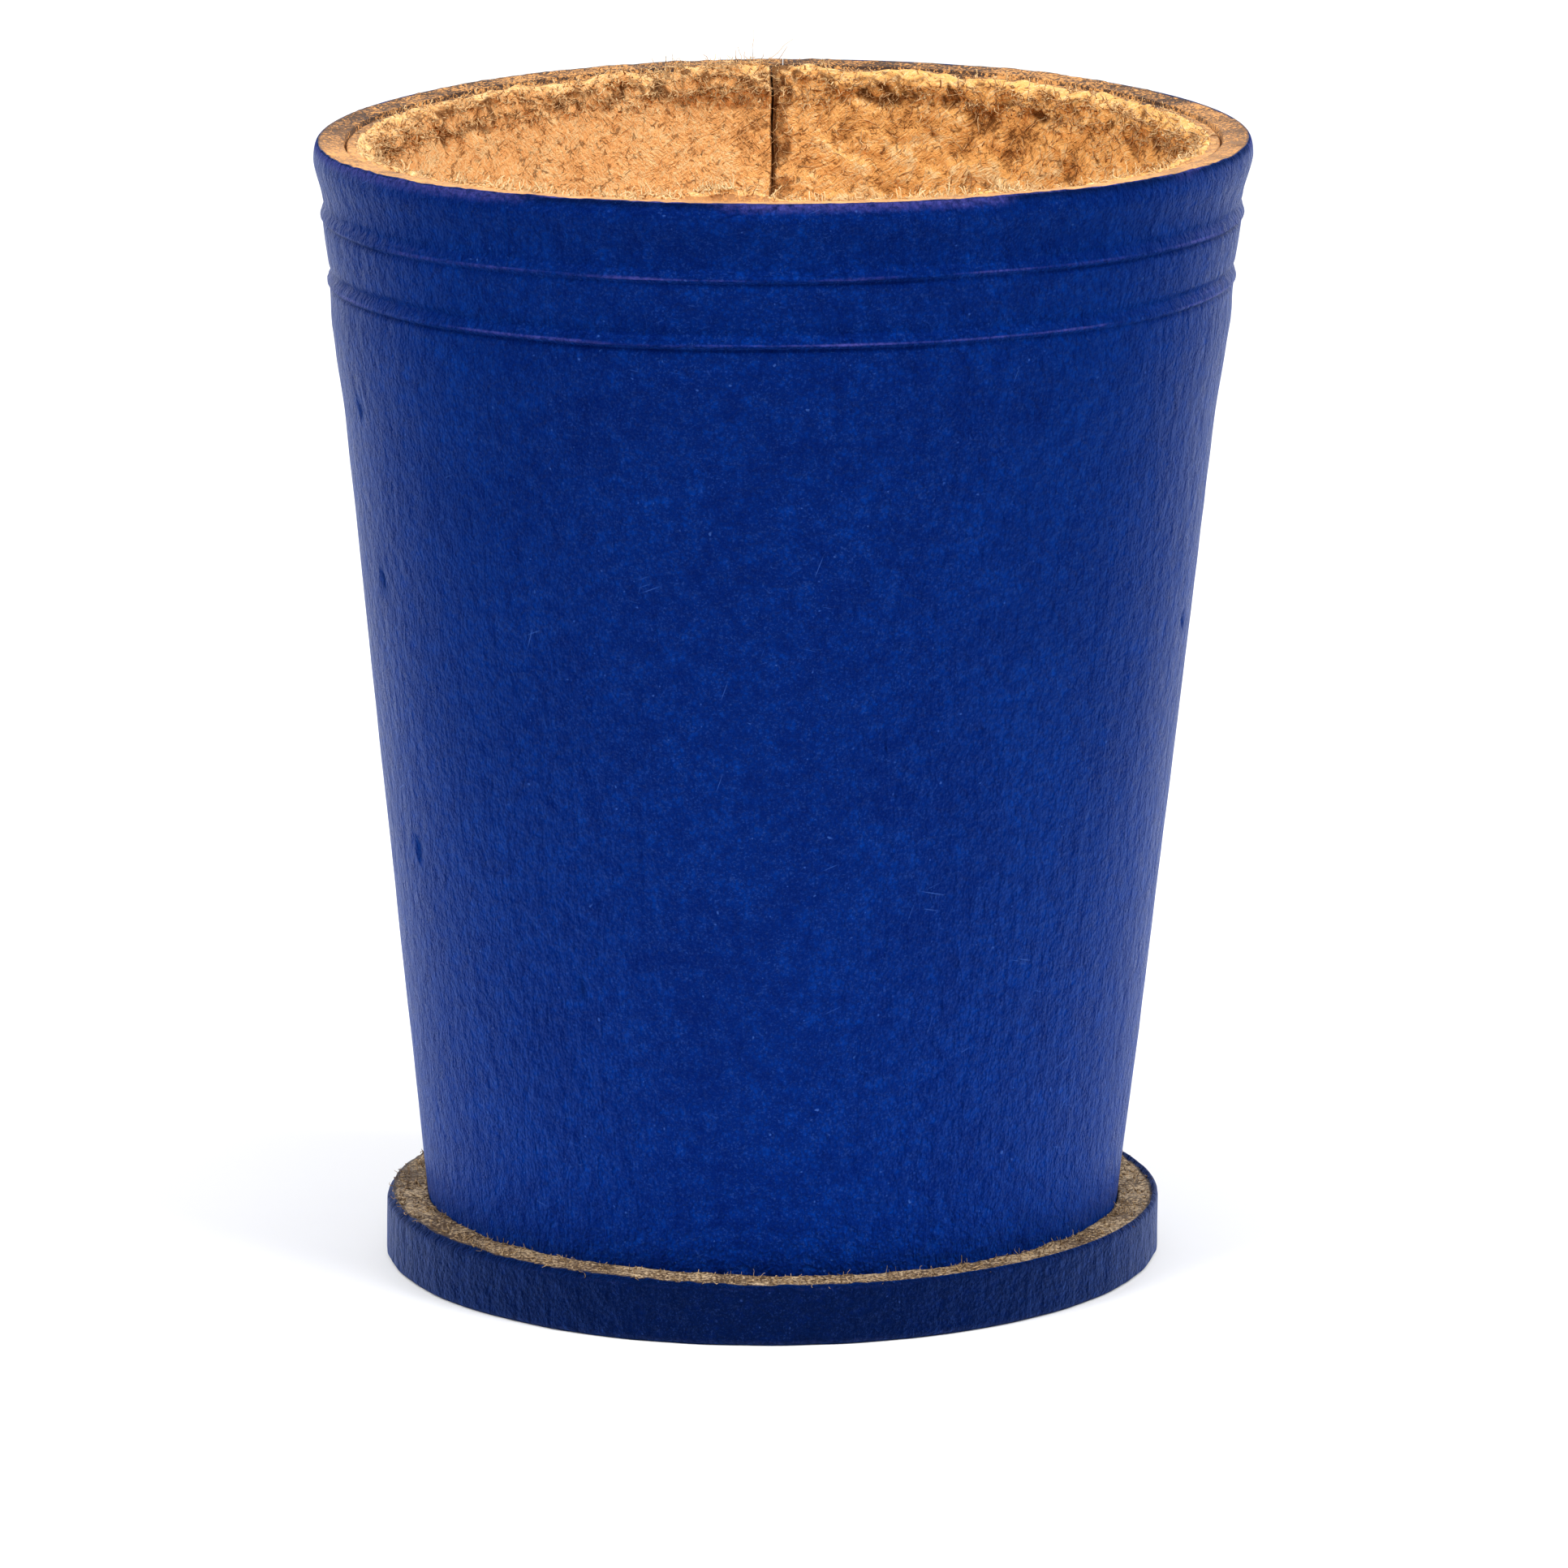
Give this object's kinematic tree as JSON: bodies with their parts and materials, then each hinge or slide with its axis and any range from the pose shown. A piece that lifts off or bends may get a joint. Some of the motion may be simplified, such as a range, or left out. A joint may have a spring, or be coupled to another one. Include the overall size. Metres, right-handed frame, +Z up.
{
  "type": "leather dice cup",
  "caption": "Tapering round leather cup for shaking dice, with a suede lining, two pressed creases under the rim and a raised band round the foot.",
  "frame": {"origin": "centre of the underside, on the surface that the cup stands on", "axes": "+Z up along the cup's axis of symmetry, +Y towards the closing seam at the back, +X to the right seen from the front"},
  "size_m": [0.08, 0.08, 0.098],
  "materials": {
    "dyed_leather": "cobalt blue dyed grain leather, satin, with a raw brown cut edge",
    "thread": "waxed navy sewing thread",
    "suede": "undyed tan split leather, fuzzy",
    "leather_board": "brown leather-fibre board",
    "sole_leather": "undyed vegetable-tanned leather, matt",
    "band_leather": "navy dyed leather with a raw tan cut edge"
  },
  "bodies": {
    "root": {"outer_shell": "dyed_leather", "seam_thread": "thread", "liner": "suede", "floor_pad": "suede", "base_board": "leather_board", "sole_disc": "sole_leather", "foot_band": "band_leather"}
  },
  "joints": []
}
